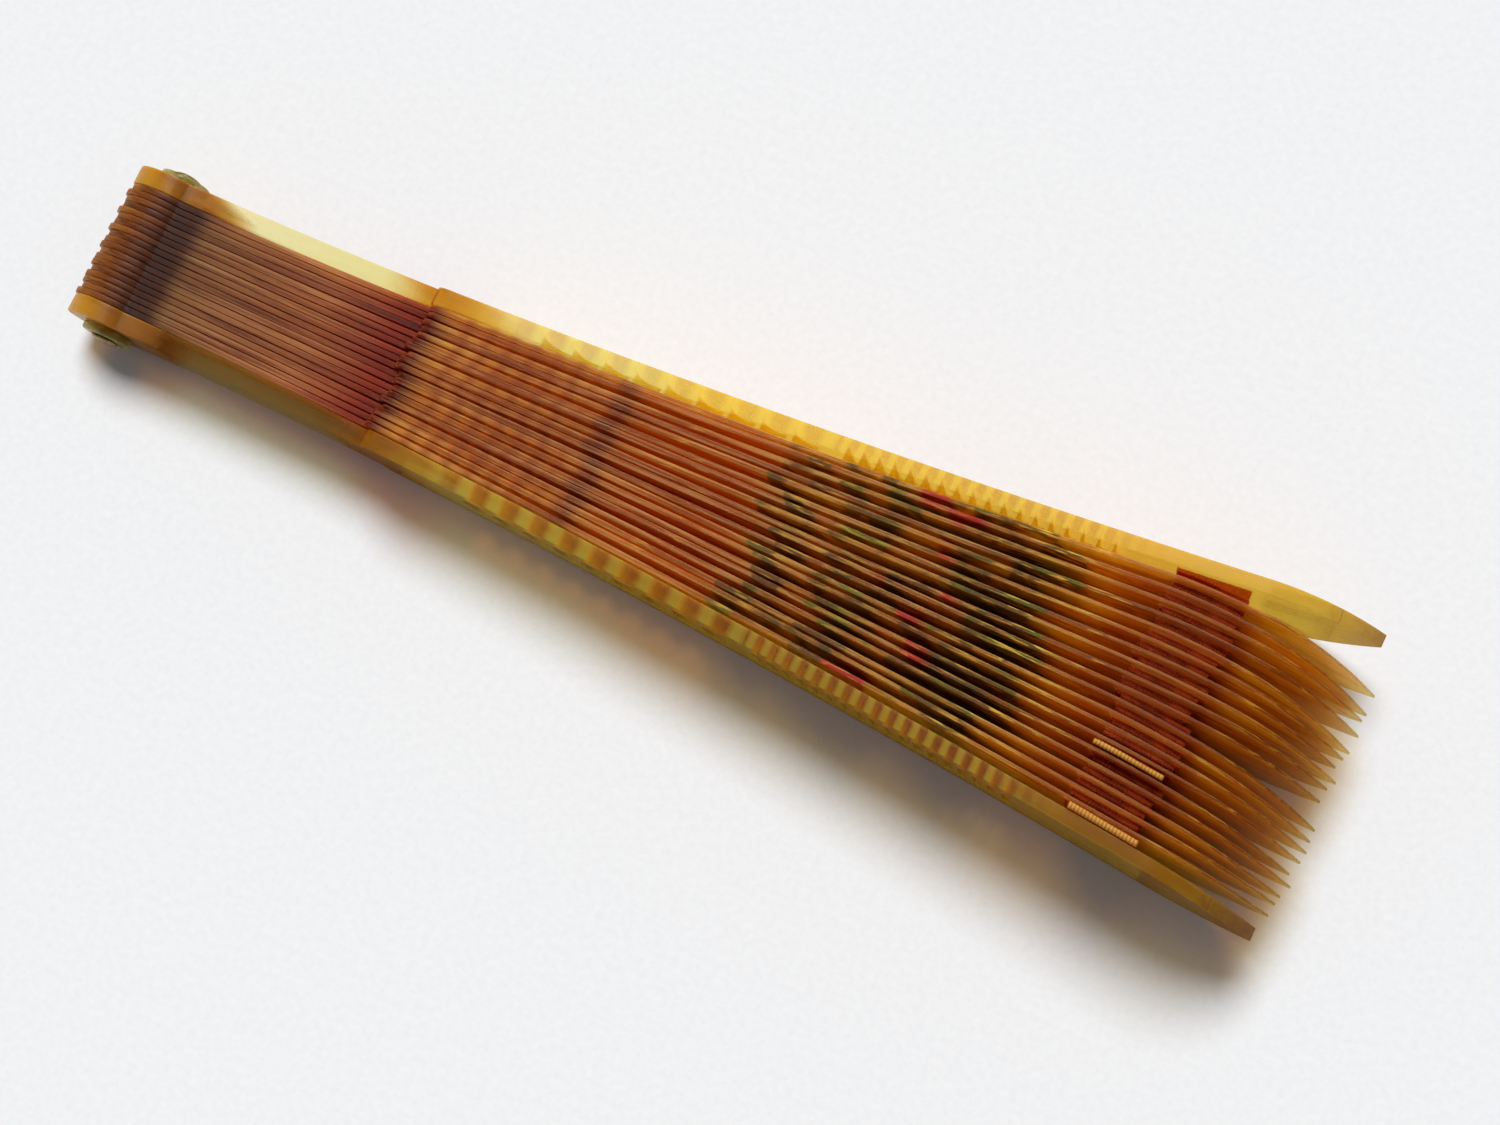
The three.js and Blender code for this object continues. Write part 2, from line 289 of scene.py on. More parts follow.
def find_sawn_edges(tree):
    """Tells sawn edges from the flat faces, which stay square to the rivet however far the fan is open."""
    facing = add(tree, "NewGeometry")
    facing_parts = add(tree, "SeparateXYZ", {"Vector": facing.outputs["True Normal"]})
    face_on = add(tree, "Math", {0: facing_parts.outputs["Y"]}, operation="ABSOLUTE")
    sawn_edge = add(tree, "MapRange", {"Value": face_on.outputs[0], "From Min": 0.9, "From Max": 0.5})
    return sawn_edge.outputs["Result"]


# Pressed horn, sawn and polished: clear honey yellow, cream where it is lit from the side, with faint streaks along
# the blade and a soft shine. Over the rows of openings the sawn edges carry painted light: a painted highlight, a
# bright yellow band, over each opening for the light that comes up through it, and a painted shade between them.
oval_count = 9
oval_pitch = 4.8
shoulder_to_ovals = 15
ovals_start = shoulder_reach + shoulder_to_ovals
fine_pitch = 2.25
fine_start = ovals_start + oval_count * oval_pitch + fine_pitch
pressed_horn, tree, horn = new_material("pressed_horn_polished")
place, parts, reach_share = find_place(tree)
zone = add(tree, "ValToRGB", {"Fac": reach_share}, stops=by_reach([
    (-5, "#d8a42c"), (3, "#a87014"), (7, "#b87c1c"), (11, "#dc9024"), (36, "#cc7c1c"), (43, "#b87818"),
    (49, "#d09420"), (56, "#f8cc38"), (110, "#f4c430"), (150, "#e0a830"), (172, "#d8a030"), (182, "#8c6430")]))
clear_tone = add(tree, "ValToRGB", {"Fac": reach_share}, stops=by_reach([
    (-5, "#f4d880"), (3, "#e0b050"), (7, "#f4d880"), (11, "#ffffe0"), (36, "#ffffd4"), (43, "#f0c458"),
    (50, "#f4d470"), (56, "#fffccc"), (76, "#fffcc4"), (86, "#fff098"), (150, "#fce488"), (172, "#f8e890"),
    (182, "#dcc080")]))
streak_size = add(tree, "VectorMath", {0: place, 1: (1 / 16, 1 / 1.6, 1 / 1.6)}, operation="MULTIPLY")
streaks = add(tree, "TexNoise", {"Vector": streak_size.outputs[0], "Scale": 1.0, "Detail": 4.0, "Distortion": 0.4})
streak_tone = add(tree, "ValToRGB", {"Fac": streaks.outputs["Fac"]},
                  stops=[(0.3, "#d8bc94"), (0.5, "#f4e8d0"), (0.7, "#ffffff")])
streaked = add(tree, "Mix", {"Factor": 0.8, "A": zone.outputs["Color"], "B": streak_tone.outputs["Color"]},
               data_type="RGBA", blend_type="MULTIPLY")
oval_turn = add(tree, "MapRange", {"Value": parts["X"], "From Min": ovals_start,
                                   "From Max": ovals_start + oval_pitch, "To Max": 2 * math.pi}, clamp=False)
fine_turn = add(tree, "MapRange", {"Value": parts["X"], "From Min": fine_start,
                                   "From Max": fine_start + fine_pitch, "To Max": 2 * math.pi}, clamp=False)
in_fine_row = add(tree, "Math", {0: parts["X"], 1: fine_start - 1}, operation="GREATER_THAN")
row_turn = add(tree, "Mix", {"Factor": in_fine_row.outputs[0], "A": oval_turn.outputs["Result"],
                             "B": fine_turn.outputs["Result"]})
band = add(tree, "Math", {0: row_turn.outputs["Result"]}, operation="COSINE")
openings_run = add(tree, "ValToRGB", {"Fac": reach_share}, stops=by_reach([
    (52, "#000000"), (62, "#ffffff"), (142, "#ffffff"), (152, "#000000")]))
sawn_edge = find_sawn_edges(tree)
rows = add(tree, "Math", {0: openings_run.outputs["Color"], 1: sawn_edge}, operation="MULTIPLY")
band_level = add(tree, "MapRange", {"Value": band.outputs[0], "From Min": -0.5, "From Max": 0.8, "To Min": 0.0,
                                    "To Max": 0.8})
# Painted light over the rows of openings: painted shade on the edges between them, a painted highlight band over each
painted_shade_between_bands = add(tree, "Mix", {"Factor": rows.outputs[0], "A": streaked.outputs["Result"],
                                  "B": linear("#d0a850")}, data_type="RGBA", blend_type="MULTIPLY")
painted_highlight_share = add(tree, "Math", {0: band_level.outputs["Result"], 1: rows.outputs[0]}, operation="MULTIPLY")
painted_highlight_bands = add(tree, "Mix", {"Factor": painted_highlight_share.outputs[0], "A": painted_shade_between_bands.outputs["Result"],
                           "B": linear("#ffe050")}, data_type="RGBA")

# Engraved spray near the tip: barbs 1.5 mm apart that slant out from the middle of the blade
barb_pitch = 1.5
barb_slant = -1.3
from_middle = add(tree, "Math", {0: parts["Y"]}, operation="ABSOLUTE")
slant = add(tree, "Math", {0: from_middle.outputs[0], 1: barb_slant, 2: parts["X"]}, operation="MULTIPLY_ADD")
barb_turn = add(tree, "Math", {0: slant.outputs[0], 1: 2 * math.pi / barb_pitch}, operation="MULTIPLY")
barb_wave = add(tree, "Math", {0: barb_turn.outputs[0]}, operation="COSINE")
barb = add(tree, "MapRange", {"Value": barb_wave.outputs[0], "From Min": 0.6, "From Max": 0.85})
spray_run = add(tree, "ValToRGB", {"Fac": reach_share}, stops=by_reach([
    (165, "#000000"), (166, "#ffffff"), (175, "#ffffff"), (176, "#000000")]))
spray_side = add(tree, "MapRange", {"Value": from_middle.outputs[0], "From Min": 8.8, "From Max": 8.0})
spray = add(tree, "Math", {0: spray_run.outputs["Color"], 1: spray_side.outputs["Result"]}, operation="MULTIPLY")
engraved = add(tree, "Math", {0: spray.outputs[0], 1: barb.outputs["Result"]}, operation="MULTIPLY")
cut_tone = add(tree, "Mix", {"Factor": engraved.outputs[0], "A": painted_highlight_bands.outputs["Result"], "B": linear("#785418")},
               data_type="RGBA")
tree.links.new(cut_tone.outputs["Result"], horn.inputs["Base Color"])
groove = add(tree, "Bump", {"Strength": 0.7, "Distance": 0.1 * MM, "Height": engraved.outputs[0]}, invert=True)
tree.links.new(groove.outputs["Normal"], horn.inputs["Normal"])
scuffs = add(tree, "TexNoise", {"Vector": place, "Scale": 0.8, "Detail": 5.0})
gloss = add(tree, "MapRange", {"Value": scuffs.outputs["Fac"], "To Min": 0.2, "To Max": 0.42})
tree.links.new(gloss.outputs["Result"], horn.inputs["Roughness"])
horn.inputs["IOR"].default_value = 1.54
horn.inputs["Specular IOR Level"].default_value = 0.35
horn.inputs["Subsurface Weight"].default_value = 1.0
horn.inputs["Subsurface Radius"].default_value = (1.0, 0.75, 0.35)
horn.inputs["Subsurface Scale"].default_value = 2.5 * MM
clearness = add(tree, "ValToRGB", {"Fac": reach_share}, stops=by_reach([
    (-4, "#a0a0a0"), (6, "#a0a0a0"), (11, "#f4f4f4"), (38, "#f0f0f0"), (45, "#d0d0d0"),
    (76, "#dcdcdc"), (90, "#e4e4e4"), (170, "#e0e0e0"), (182, "#d8d8d8")]))
# The thick plate is clear to look through, yet takes about half the lamp light on its way to the table
ray = add(tree, "LightPath")
passing = add(tree, "Mix", {"Factor": ray.outputs["Is Shadow Ray"], "A": clearness.outputs["Color"], "B": 0.55})
uncut = add(tree, "MapRange", {"Value": engraved.outputs[0], "To Min": 1.0, "To Max": 0.35})
seen_through = add(tree, "Math", {0: passing.outputs["Result"], 1: uncut.outputs["Result"]}, operation="MULTIPLY")
let_light_through(tree, horn, seen_through.outputs[0], clear_tone.outputs["Color"])

guard_shorter_by = 1.6
guard_tip = tip_reach - guard_shorter_by
guard_ease = 0.16
bore_radius = 1.25
oval_half_length, oval_half_height = 1.7, 4.5
fine_length, fine_height = 1.0, 10.0
fine_to_ribbon = 5
fine_count = int((ribbon_start - fine_to_ribbon - fine_start) / fine_pitch)
guard_openings = [oval_ring(0.0, bore_radius, bore_radius, sides=32)]
guard_openings += [oval_ring(ovals_start + oval_pitch * n, oval_half_length, oval_half_height, sides=24)
                   for n in range(oval_count)]
guard_openings += [slot_ring(fine_start + fine_pitch * n, 0.0, fine_length, fine_height) for n in range(fine_count)]
guard_plate = saw_flat("guard_plate", [blade_ring(guard_tip)] + guard_openings, guard_head_thickness, guard_ease)

full_opening = math.radians(170)
for label, side, opens_by in (("back", -1, 0.0), ("front", 1, full_opening)):
    guard = bend_blade(
        f"guard_{label}_horn", guard_plate, guard_head_thickness,
        lambda reach: side * (guard_inner_face(reach) + guard_thickness(reach) / 2), guard_thickness, opens_by)
    guard.data.materials.append(pressed_horn)
    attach(guard, f"{label}_guard")
    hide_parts(f"guard_{label}")

# Sticks
# Nineteen thin blades between the guards, sawn from the same horn, pierced with small lozenges at the foot and
# painted with a garland. Near the tip each has two slots for the ribbon, and its old tip has curled.

slot_to_edge = 4.0
slot_across = edge_at(ribbon_start) - slot_to_edge
slot_play = 0.5
slot_height = 1.33
lozenge_count = 6
lozenge_pitch = 3.4
lozenge_length, lozenge_height = 2.0, 7.0
shoulder_to_lozenges = 5
lozenges_start = shoulder_reach + shoulder_to_lozenges
stick_ease = 0.06


def lens_ring(reach, length, height):
    """A pointed lozenge, taller than it is long."""
    side_steps = 8
    low, high = (reach, -height / 2), (reach, height / 2)
    far_side = bow(low, (reach + length, 0.0), high, side_steps)
    near_side = bow(high, (reach - length, 0.0), low, side_steps)
    return far_side[:-1] + near_side[:-1]


def scraped_thickness(reach):
    """Past the shoulder the faces are scraped down, to a third less at the tip."""
    depth, start, run = 0.2, 60, 80
    return stick_thickness(reach) - depth * as_share((reach - start) / run)


# Sawn and warped by hand, each stick differs a little in its length and in how far its tip has curled
own_length = [-0.8, -0.6, -0.4, 0.3, -0.5, 0.2, 0.4, 0.2, 0.2, -0.7, -0.5, 0.2, -0.7, -0.2, 0.2, 0.4, 0.0, 0.2, 0.2]
own_curl = [-0.7, -0.7, -0.1, -0.2, 0.1, -0.3, -0.2, -0.1, -0.1, 0.2, 0.1, 0.6, 0.6, 0.9, 1.5, 0.7, 0.4, 1.1, 0.1]

# Past the ribbon all tips lean towards the back guard, and the first nine part from the rest
tip_lean = 5.0
tip_parting = 2.1
parted_sticks = 9
curl_power = 1.6


def tip_curl(number, reach):
    past_ribbon = max(0.0, (reach - ribbon_start) / (tip_reach - ribbon_start))
    lean = tip_lean * (number / (stick_count + 1)) ** curl_power
    parting = tip_parting * number / parted_sticks if number <= parted_sticks else 0.0
    return (lean + parting + own_curl[number - 1]) * past_ribbon ** curl_power


# Between rivet and ribbon each stick sways through part of the gap to its neighbours, and no two sway alike
sway_share = 0.42
sway_by_stick = 2.4
sway_by_reach = 0.03


def stick_middle(number, reach):
    thickness = stick_thickness(reach)
    gap = (2 * guard_inner_face(reach) - stick_count * thickness) / (stick_count + 1)
    free = math.sin(math.pi * as_share(reach / ribbon_start))
    sway = sway_share * gap * free * math.sin(sway_by_stick * number + sway_by_reach * reach)
    return -guard_inner_face(reach) + number * (gap + thickness) - thickness / 2 + sway - tip_curl(number, reach)


# Painted horn: the same horn, amber over the body, with a garland of dark green leaves and red flowers painted in
# gouache and touched with gold that is partly a painted glow of lit horn. Its colour carries painted shade at the head
# and gorge: dark brown where the head steps down to the gorge, and red-brown, darkest at the shoulder, where the
# tight-packed sticks let little light in. The paint lets less light through than the horn.
painted_horn, tree, horn = new_material("painted_horn")
place, parts, reach_share = find_place(tree)
picture = add(tree, "Attribute", attribute_name="garland_place")
# Painted shade in the colour along the blade: dark brown at the head's step to the gorge, red-brown darkening to the
# shoulder
zone = add(tree, "ValToRGB", {"Fac": reach_share}, stops=by_reach([
    (-5, "#a87028"), (0, "#885020"), (4, "#4c2410"), (7, "#542c10"), (9.5, "#a88058"), (30, "#cc8c5c"),
    (41, "#ac3a14"), (46.4, "#8c3820"), (49, "#fcbc40"), (74, "#fcc040"), (75, "#c48440"), (77.2, "#c48440"),
    (78, "#fcc048"), (96, "#fcbc40"), (100, "#fccc50"), (146, "#fcd454"), (150, "#ecb454"), (165, "#ecb454"),
    (167, "#ffe070"), (176, "#ffdc74"), (183, "#fff4b0")]))
clear_tone = add(tree, "ValToRGB", {"Fac": reach_share}, stops=by_reach([
    (-4, "#f0d8a0"), (6.5, "#e8b468"), (10, "#ffe0c0"), (41, "#f8cca0"), (50, "#ffecc0"), (90, "#ffecc0"),
    (105, "#fff4d4"), (150, "#fff4d8"), (165, "#fff2d4"), (170, "#fff0c4"), (180, "#ffecc0"), (183, "#fff8d0")]))
horn_clearness = add(tree, "ValToRGB", {"Fac": reach_share}, stops=by_reach([
    (-4, "#888888"), (7, "#888888"), (10, "#a8a8a8"), (44, "#a8a8a8"), (50, "#b0b0b0"), (150, "#b0b0b0"),
    (169, "#b8b8b8"), (176, "#c8c8c8"), (183, "#d8d8d8")]))
streak_size = add(tree, "VectorMath", {0: place, 1: (1 / 14, 1 / 1.2, 1 / 0.4)}, operation="MULTIPLY")
this_stick = add(tree, "ObjectInfo")
own_streaks = add(tree, "VectorMath", {0: this_stick.outputs["Random"], 1: (41, 17, 29), 2: streak_size.outputs[0]},
                  operation="MULTIPLY_ADD")
streaks = add(tree, "TexNoise", {"Vector": own_streaks.outputs[0], "Scale": 1.0, "Detail": 4.0, "Distortion": 0.6})
streak_tone = add(tree, "ValToRGB", {"Fac": streaks.outputs["Fac"]},
                  stops=[(0.34, "#a47c60"), (0.5, "#f0dcc0"), (0.64, "#fffaf0")])
own_tone = add(tree, "ValToRGB", {"Fac": this_stick.outputs["Random"]},
               stops=[(0.0, "#c0a088"), (0.4, "#e8d4c0"), (1.0, "#ffffff")])
plate_tone = add(tree, "Mix", {"Factor": 1.0, "A": zone.outputs["Color"], "B": own_tone.outputs["Color"]},
                 data_type="RGBA", blend_type="MULTIPLY")
streaked = add(tree, "Mix", {"Factor": 0.9, "A": plate_tone.outputs["Result"], "B": streak_tone.outputs["Color"]},
               data_type="RGBA", blend_type="MULTIPLY")

# Sawn edges, a little duller than the faces over the body and browner towards the tip. Over the body they carry a
# painted highlight, pale tan in streaks along each stick, where a window's glint would lie on them.
sawn_edge = find_sawn_edges(tree)
edge_tone = add(tree, "ValToRGB", {"Fac": reach_share}, stops=by_reach([
    (40, "#ffffff"), (60, "#ccb8ac"), (150, "#c8b0a4"), (166, "#b08460"), (174, "#906040"), (183, "#88583c")]))
browned = add(tree, "Mix", {"Factor": sawn_edge, "A": streaked.outputs["Result"],
                            "B": edge_tone.outputs["Color"]}, data_type="RGBA", blend_type="MULTIPLY")
# Painted highlight on the sawn edges, in pale streaks along each stick over the body
painted_glint = add(tree, "MapRange", {"Value": streaks.outputs["Fac"], "From Min": 0.46, "From Max": 0.62, "To Max": 0.34})
painted_glint_run = add(tree, "ValToRGB", {"Fac": reach_share}, stops=by_reach([
    (8, "#000000"), (14, "#808080"), (30, "#808080"), (42, "#000000"), (50, "#e0e0e0"), (130, "#ffffff"),
    (150, "#808080"), (172, "#000000")]))
painted_glint_share = add(tree, "Math", {0: painted_glint.outputs["Result"], 1: painted_glint_run.outputs["Color"]}, operation="MULTIPLY")
painted_glint_on_edges = add(tree, "Math", {0: painted_glint_share.outputs[0], 1: sawn_edge}, operation="MULTIPLY")
edge_glinted = add(tree, "Mix", {"Factor": painted_glint_on_edges.outputs[0], "A": browned.outputs["Result"], "B": linear("#f0c490")},
            data_type="RGBA")

# Painted shade: a row of dark marks where the pierced lozenges show darker through the horn
lozenge_turn = add(tree, "MapRange", {"Value": parts["X"], "From Min": lozenges_start,
                                      "From Max": lozenges_start + lozenge_pitch, "To Max": 2 * math.pi}, clamp=False)
lozenge_wave = add(tree, "Math", {0: lozenge_turn.outputs["Result"]}, operation="COSINE")
lozenge_row = add(tree, "ValToRGB", {"Fac": reach_share}, stops=by_reach([
    (48, "#000000"), (50, "#d8d8d8"), (71, "#d8d8d8"), (73, "#000000")]))
lozenge_shade = add(tree, "MapRange", {"Value": lozenge_wave.outputs[0], "From Min": -0.6, "From Max": 1.0,
                                       "To Max": 0.75})
lozenge_painted_shade = add(tree, "Math", {0: lozenge_shade.outputs["Result"], 1: lozenge_row.outputs["Color"]},
                   operation="MULTIPLY")
lozenge_shaded = add(tree, "Mix", {"Factor": lozenge_painted_shade.outputs[0], "A": edge_glinted.outputs["Result"],
                           "B": linear("#94481c")}, data_type="RGBA")

# Garland on the spread fan: swags of leaves 6 mm wide and 14 mm long, flowers among them, and gold touches. The gold
# is partly gilding and partly painted light, a glow of bare horn lit through, strongest just short of the ribbon. From
# stick to stick it is out of line by up to 7 mm.
ragged = 7.0
ragged_reach = add(tree, "Math", {0: this_stick.outputs["Random"], 1: ragged, 2: parts["X"]}, operation="MULTIPLY_ADD")
garland_share = add(tree, "MapRange", {"Value": ragged_reach.outputs[0], "From Min": run_start + ragged / 2,
                                       "From Max": run_end + ragged / 2})
garland = add(tree, "ValToRGB", {"Fac": garland_share.outputs["Result"]}, stops=by_reach([
    (101, "#000000"), (102, "#ffffff"), (105, "#f0f0f0"), (107, "#b8b8b8"), (112, "#e8e8e8"), (119, "#f0f0f0"),
    (124, "#c0c0c0"), (130, "#f0f0f0"), (140, "#ffffff"), (143, "#808080"), (148, "#787878"), (150, "#707070"),
    (166, "#787878"), (176, "#606060"), (180, "#000000")]))
leaf_size = add(tree, "VectorMath", {0: picture.outputs["Vector"], 1: (1 / 6, 1 / 14, 1 / 6)}, operation="MULTIPLY")
leaf_spots = add(tree, "TexNoise", {"Vector": leaf_size.outputs[0], "Scale": 1.0, "Detail": 3.0, "Distortion": 0.8})
leaf_room = add(tree, "MapRange", {"Value": garland.outputs["Color"], "To Min": 0.8, "To Max": 0.37})
leaf_over = add(tree, "Math", {0: leaf_spots.outputs["Fac"], 1: leaf_room.outputs["Result"]}, operation="SUBTRACT")
leaf = add(tree, "MapRange", {"Value": leaf_over.outputs[0], "From Min": 0.0, "From Max": 0.1, "To Max": 0.82})
leaf_hue = add(tree, "TexNoise", {"Vector": leaf_size.outputs[0], "Scale": 0.6, "Detail": 2.0})
leaf_tone = add(tree, "ValToRGB", {"Fac": leaf_hue.outputs["Fac"]},
                stops=[(0.4, "#482e14"), (0.47, "#3a2e12"), (0.54, "#384010"), (0.62, "#486014")])
leafed = add(tree, "Mix", {"Factor": leaf.outputs["Result"], "A": lozenge_shaded.outputs["Result"],
                           "B": leaf_tone.outputs["Color"]}, data_type="RGBA")
flower_row = add(tree, "ValToRGB", {"Fac": garland_share.outputs["Result"]}, stops=by_reach([
    (117, "#000000"), (119, "#ffffff"), (127, "#ffffff"), (129, "#000000")]))
flower_size = add(tree, "VectorMath", {0: picture.outputs["Vector"], 1: (1 / 9, 1 / 40, 0)}, operation="MULTIPLY")
flowers = add(tree, "TexVoronoi", {"Vector": flower_size.outputs[0], "Scale": 1.0})
flower_round = add(tree, "MapRange", {"Value": flowers.outputs["Distance"], "From Min": 0.42, "From Max": 0.34})
flower = add(tree, "Math", {0: flower_round.outputs["Result"], 1: flower_row.outputs["Color"]}, operation="MULTIPLY")
flowered = add(tree, "Mix", {"Factor": flower.outputs[0], "A": leafed.outputs["Result"],
                             "B": linear("#982008")}, data_type="RGBA")
# Gold touches, partly gilding and partly a painted glow of lit horn, in rows along the blade and patches on each stick
gold_and_glow_rows = add(tree, "ValToRGB", {"Fac": garland_share.outputs["Result"]}, stops=by_reach([
    (88, "#000000"), (89, "#c0c0c0"), (91, "#c0c0c0"), (92, "#000000"), (102, "#000000"), (104, "#c0c0c0"),
    (109, "#c0c0c0"), (112, "#909090"), (130, "#909090"), (139, "#f0f0f0"), (148, "#f0f0f0"), (150, "#606060"),
    (166, "#606060"), (168, "#d0d0d0"), (178, "#808080")]))
gold_and_glow_size = add(tree, "VectorMath", {0: own_streaks.outputs[0], 1: (4.0, 0.9, 0.9)}, operation="MULTIPLY")
gold_and_glow_noise = add(tree, "TexNoise", {"Vector": gold_and_glow_size.outputs[0], "Scale": 1.0, "Detail": 1.0})
gold_and_glow_shape = add(tree, "MapRange", {"Value": gold_and_glow_noise.outputs["Fac"], "From Min": 0.55, "From Max": 0.61})
gold_and_glow_spot = add(tree, "Math", {0: gold_and_glow_shape.outputs["Result"], 1: gold_and_glow_rows.outputs["Color"]}, operation="MULTIPLY")
gilded_and_glowing = add(tree, "Mix", {"Factor": gold_and_glow_spot.outputs[0], "A": flowered.outputs["Result"],
                           "B": linear("#e8b040")}, data_type="RGBA")
tree.links.new(gilded_and_glowing.outputs["Result"], horn.inputs["Base Color"])
polish = add(tree, "MapRange", {"Value": streaks.outputs["Fac"], "From Min": 0.3, "From Max": 0.7, "To Min": 0.22,
                                "To Max": 0.5})
painted_gloss = add(tree, "Math", {0: leaf.outputs["Result"], 1: 0.2, 2: polish.outputs["Result"]},
                    operation="MULTIPLY_ADD")
gloss = add(tree, "Math", {0: sawn_edge, 1: 0.18, 2: painted_gloss.outputs[0]}, operation="MULTIPLY_ADD")
tree.links.new(gloss.outputs[0], horn.inputs["Roughness"])
horn.inputs["IOR"].default_value = 1.54
horn.inputs["Specular IOR Level"].default_value = 0.22
horn.inputs["Subsurface Weight"].default_value = 1.0
horn.inputs["Subsurface Radius"].default_value = (1.0, 0.8, 0.35)
horn.inputs["Subsurface Scale"].default_value = 2 * MM
paint = add(tree, "Math", {0: leaf.outputs["Result"], 1: flower.outputs[0]}, operation="MAXIMUM")
paint_clearness = add(tree, "MapRange", {"Value": paint.outputs[0], "To Min": 1.0, "To Max": 0.2})
# Thin horn scatters most of the lamp light on through the pack, so that the gaps glow amber, but blurs the view.
# Past the ribbon the bare tips keep more of it from the table.
onward = add(tree, "ValToRGB", {"Fac": reach_share}, stops=by_reach([
    (150, "#f4f4f4"), (168, "#eeeeee"), (183, "#e6e6e6")]))
ray = add(tree, "LightPath")
passing = add(tree, "Mix", {"Factor": ray.outputs["Is Shadow Ray"], "A": horn_clearness.outputs["Color"],
                            "B": onward.outputs["Color"]})
clearness = add(tree, "Math", {0: passing.outputs["Result"], 1: paint_clearness.outputs["Result"]},
                operation="MULTIPLY")
let_light_through(tree, horn, clearness.outputs[0], clear_tone.outputs["Color"])

head_unevenness = 0.3
stick_openings = [oval_ring(0.0, bore_radius, bore_radius, sides=32)]
stick_openings += [slot_ring(ribbon_reach, side * slot_across, ribbon_width + 2 * slot_play, slot_height)
                   for side in (-1, 1)]
stick_openings += [lens_ring(lozenges_start + lozenge_pitch * n, lozenge_length, lozenge_height)
                   for n in range(lozenge_count)]
stick_plate = saw_flat("stick_plate", [blade_ring(tip_reach)] + stick_openings, stick_head_thickness, stick_ease)
for number in range(1, stick_count + 1):
    own_head = head_unevenness * math.sin(2.2 * number)
    stick = bend_blade(
        f"stick_{number:02d}_horn", stick_plate, stick_head_thickness,
        lambda reach: stick_middle(number, reach), scraped_thickness, full_opening * number / (stick_count + 1),
        own_length[number - 1], own_head)
    stick.data.materials.append(painted_horn)
    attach(stick, f"stick_{number:02d}")
    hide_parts(f"stick_{number:02d}")

# Ribbon
# One narrow silk ribbon, woven, threaded through the two slots of each stick in turn and glued to the inner faces
# of the guards at its ends. Closed, it folds into a loop between each two blades, near their upper edges.

ribbon_thickness = 0.2
ribbon_lie = 0.265
run_foot = -10.9
slot_bend = 0.3
loop_radius = 0.27
loop_top = 9.1
raised_loop_tops = {5: 12.4, 6: 10.8}
loop_unevenness = 0.3
loop_waviness = 0.15
guard_loop_radius = 0.34
guard_loop_top = 12.55
guard_loop_waviness = 0.1
below_guard_loop = 0.4
guard_run_top = 11.3


def arc(centre, radius, start, end, count):
    """Points on a bend of the ribbon, between two angles in degrees."""
    turns = [math.radians(start + (end - start) * step / count) for step in range(count + 1)]
    return [(centre[0] + radius * math.cos(turn), centre[1] + radius * math.sin(turn)) for turn in turns]


def straight(start, end, count):
    return [tuple(a + (b - a) * step / count for a, b in zip(start, end)) for step in range(count + 1)]


def loop_over(lie, top, radius):
    """The end of a run: up to the top of its loop, over it and a little way down again."""
    drop = 0.9
    over = arc((lie + radius, top - radius), radius, 180, 0, 8)
    return over + straight(over[-1], (over[-1][0], top - radius - drop), 3)[1:]


def run_through_stick(number, reach):
    """The ribbon's run on one stick, as (through, across) places: over its back and out through both slots. Its loop
    differs a little in height from stick to stick, and along the ribbon's width."""
    lie = stick_thickness(reach) / 2 + ribbon_lie
    top = raised_loop_tops.get(number, loop_top + loop_unevenness * math.sin(2.4 * number))
    top += loop_waviness * math.sin(0.8 * reach + 1.7 * number)
    run = straight((lie, run_foot), (lie, -slot_across - slot_bend), 4)
    run += arc((lie - slot_bend, -slot_across - slot_bend), slot_bend, 0, 90, 3)
    run += arc((-lie + slot_bend, -slot_across + slot_bend), slot_bend, 270, 180, 3)
    run += straight((-lie, -slot_across + slot_bend), (-lie, slot_across - slot_bend), 12)[1:-1]
    run += arc((-lie + slot_bend, slot_across - slot_bend), slot_bend, 180, 90, 3)
    run += arc((lie - slot_bend, slot_across + slot_bend), slot_bend, 270, 360, 3)
    return run + loop_over(lie, top, loop_radius)


def run_on_guard(side, reach):
    """The ribbon's end on a guard's inner face, which loops over towards the sticks at the back guard only."""
    if side > 0:
        return straight((-ribbon_lie, run_foot), (-ribbon_lie, guard_run_top), 16)
    top = guard_loop_top + guard_loop_waviness * math.sin(0.7 * reach)
    run = straight((ribbon_lie, run_foot), (ribbon_lie, top - below_guard_loop), 16)[:-1]
    return run + loop_over(ribbon_lie, top, guard_loop_radius)


def lay_ribbon(name, run_at, middle_at, start):
    """A length of ribbon laid along its run, and the run's length in millimetres."""
    columns = 24
    rows = len(run_at(ribbon_reach))
    places, weave = [], []
    for column in range(columns + 1):
        reach = start + ribbon_width * column / columns
        for row, (through, across) in enumerate(run_at(reach)):
            places.append(on_table(reach, across, middle_at(reach) + through))
            weave.append((reach, across, through))
    faces = [(a + row, a + row + 1, a + rows + row + 1, a + rows + row)
             for a in range(0, columns * rows, rows) for row in range(rows - 1)]
    mesh = bpy.data.meshes.new(name)
    mesh.from_pydata(places, [], faces)
    mesh.shade_smooth()
    thread_place = mesh.attributes.new("thread_place", "FLOAT_VECTOR", "POINT")
    for point, where in zip(thread_place.data, weave):
        point.vector = where
    ribbon = put_in_scene(name, mesh)
    cloth = ribbon.modifiers.new("silk", "SOLIDIFY")
    cloth.thickness = ribbon_thickness * MM
    cloth.offset = 0.0
    run = run_at(ribbon_reach)
    return ribbon, sum(math.dist(a, b) for a, b in zip(run, run[1:]))


